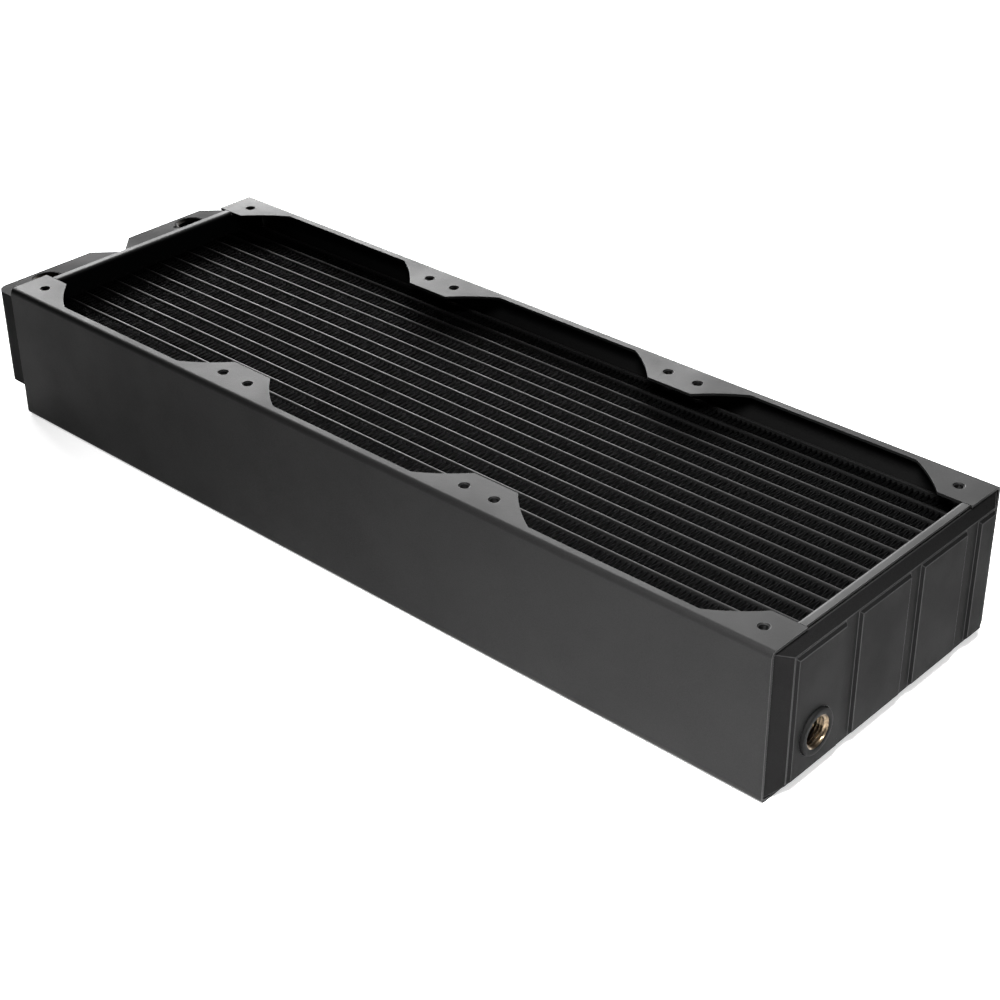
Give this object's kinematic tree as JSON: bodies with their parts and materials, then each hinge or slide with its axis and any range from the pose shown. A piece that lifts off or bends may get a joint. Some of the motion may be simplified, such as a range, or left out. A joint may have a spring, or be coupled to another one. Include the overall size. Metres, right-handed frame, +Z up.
{
  "type": "liquid cooling radiator",
  "caption": "Thick liquid cooling radiator in a folded steel frame with fan screw tabs, a finned tube core, a notched port tank and a padded return tank.",
  "frame": {"origin": "middle of the underside, on the lower fan face", "axes": "+X along the length to the return tank, +Y to the rear panel, +Z up to the upper fan face"},
  "size_m": [0.4564, 0.1466, 0.065],
  "materials": {
    "coated_frame": "fine textured satin powder coat",
    "coated_tank": "satin powder coat",
    "coated_core": "thin satin black paint",
    "coated_tube": "thin satin black paint",
    "coated_fin": "thin matte black paint",
    "port_brass": "machined"
  },
  "bodies": {
    "root": {"side_panel_front": "coated_frame", "side_panel_rear": "coated_frame", "header_plate_port_end": "coated_frame", "header_plate_return_end": "coated_frame", "port_tank": "coated_tank", "port_tank_divider": "coated_core", "return_tank": "coated_tank", "port_bush_front": "port_brass", "port_bush_rear": "port_brass", "port_bush_return": "port_brass", "core_side_plate_front": "coated_core", "core_side_plate_rear": "coated_core", "tube_upper_01": "coated_tube", "tube_lower_01": "coated_tube", "tube_upper_02": "coated_tube", "tube_lower_02": "coated_tube", "tube_upper_03": "coated_tube", "tube_lower_03": "coated_tube", "tube_upper_04": "coated_tube", "tube_lower_04": "coated_tube", "tube_upper_05": "coated_tube", "tube_lower_05": "coated_tube", "tube_upper_06": "coated_tube", "tube_lower_06": "coated_tube", "tube_upper_07": "coated_tube", "tube_lower_07": "coated_tube", "tube_upper_08": "coated_tube", "tube_lower_08": "coated_tube", "tube_upper_09": "coated_tube", "tube_lower_09": "coated_tube", "tube_upper_10": "coated_tube", "tube_lower_10": "coated_tube", "tube_upper_11": "coated_tube", "tube_lower_11": "coated_tube", "tube_upper_12": "coated_tube", "tube_lower_12": "coated_tube", "tube_upper_13": "coated_tube", "tube_lower_13": "coated_tube", "tube_upper_14": "coated_tube", "tube_lower_14": "coated_tube", "fin_strip_01": "coated_fin", "fin_strip_02": "coated_fin", "fin_strip_03": "coated_fin", "fin_strip_04": "coated_fin", "fin_strip_05": "coated_fin", "fin_strip_06": "coated_fin", "fin_strip_07": "coated_fin", "fin_strip_08": "coated_fin", "fin_strip_09": "coated_fin", "fin_strip_10": "coated_fin", "fin_strip_11": "coated_fin", "fin_strip_12": "coated_fin", "fin_strip_13": "coated_fin", "fin_strip_14": "coated_fin", "fin_strip_15": "coated_fin"}
  },
  "joints": []
}
